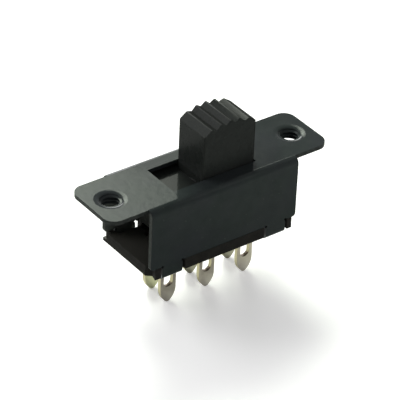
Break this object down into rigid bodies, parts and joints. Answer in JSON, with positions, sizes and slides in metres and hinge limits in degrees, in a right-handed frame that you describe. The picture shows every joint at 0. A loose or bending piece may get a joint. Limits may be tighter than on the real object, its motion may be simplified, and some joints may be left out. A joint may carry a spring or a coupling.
{
  "type": "slide switch",
  "caption": "Panel-mount slide switch: folded black steel channel with two ears, a ridged black knob that slides in its slot, and solder lugs with eyes below.",
  "frame": {"origin": "centre of the plate's top face, midway between the two mounting holes", "axes": "+X along the knob's travel, +Y across the plate towards the rear row of lugs, +Z out of the panel on the knob's side"},
  "size_m": [0.035, 0.0112, 0.0256],
  "materials": {
    "blackened_steel": "thin black finish on sheet steel, satin",
    "phenolic_board": "near-black laminate, satin",
    "black_moulding": "moulded black plastic, fine satin",
    "silvered_strip": "tin-silver plate over brass, slightly warm",
    "contact_copper": "bare copper alloy",
    "spring_wire": "drawn wire",
    "ball_steel": "polished"
  },
  "bodies": {
    "housing": {"frame": "blackened_steel", "base_board": "phenolic_board", "terminal_front_left": "silvered_strip", "terminal_front_centre": "silvered_strip", "terminal_front_right": "silvered_strip", "terminal_rear_left": "silvered_strip", "terminal_rear_centre": "silvered_strip", "terminal_rear_right": "silvered_strip"},
    "slider": {"actuator": "black_moulding", "wiper_front": "contact_copper", "wiper_rear": "contact_copper", "spring_front": "spring_wire", "spring_rear": "spring_wire", "detent_spring": "spring_wire", "detent_ball_front": "ball_steel", "detent_ball_rear": "ball_steel"}
  },
  "joints": [
    {"name": "slider_travel", "type": "slide", "parent": "housing", "child": "slider", "axis": [1, 0, 0], "range_m": [-0.0045, 0]}
  ]
}
